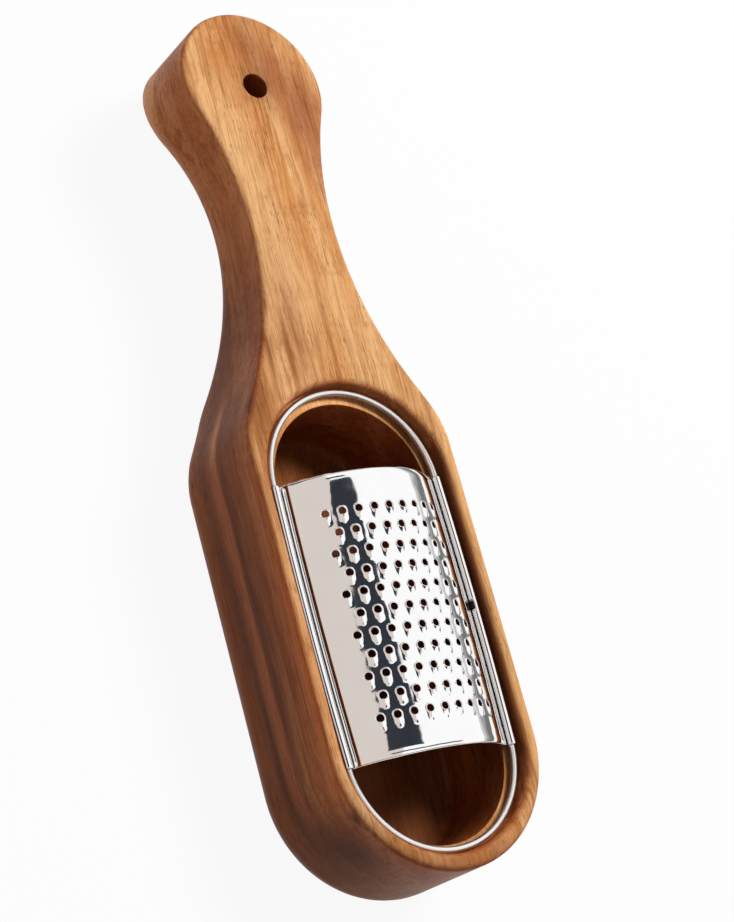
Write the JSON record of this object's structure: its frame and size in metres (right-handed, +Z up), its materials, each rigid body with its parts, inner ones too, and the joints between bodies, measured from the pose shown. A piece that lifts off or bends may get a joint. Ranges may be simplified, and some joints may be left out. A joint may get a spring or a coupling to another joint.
{
  "type": "cheese grater",
  "caption": "Wooden box grater with a scooped handle, a hanging hole and an arched steel grating plate on a wire loop that lifts out of the box's mouth.",
  "frame": {"origin": "middle of the whole grater's plan, on the surface that its flat base rests on", "axes": "+Y along the grater from its box to the end of its handle, +Z up out of the mouth, +X to the right when looking along +Y"},
  "size_m": [0.0864, 0.33, 0.0655],
  "materials": {
    "upper_acacia": "oiled, satin",
    "lower_acacia": "oiled, satin",
    "polished_wire": "polished stainless steel wire",
    "polished_sheet": "mirror polished stainless steel sheet"
  },
  "bodies": {
    "grater_box": {"upper_board": "upper_acacia", "lower_board": "lower_acacia"},
    "grater_insert": {"wire_frame": "polished_wire", "grating_plate": "polished_sheet"}
  },
  "joints": [
    {"name": "insert_lift", "type": "slide", "parent": "grater_box", "child": "grater_insert", "axis": [0, 0, 1], "range_m": [0, 0.04]}
  ]
}
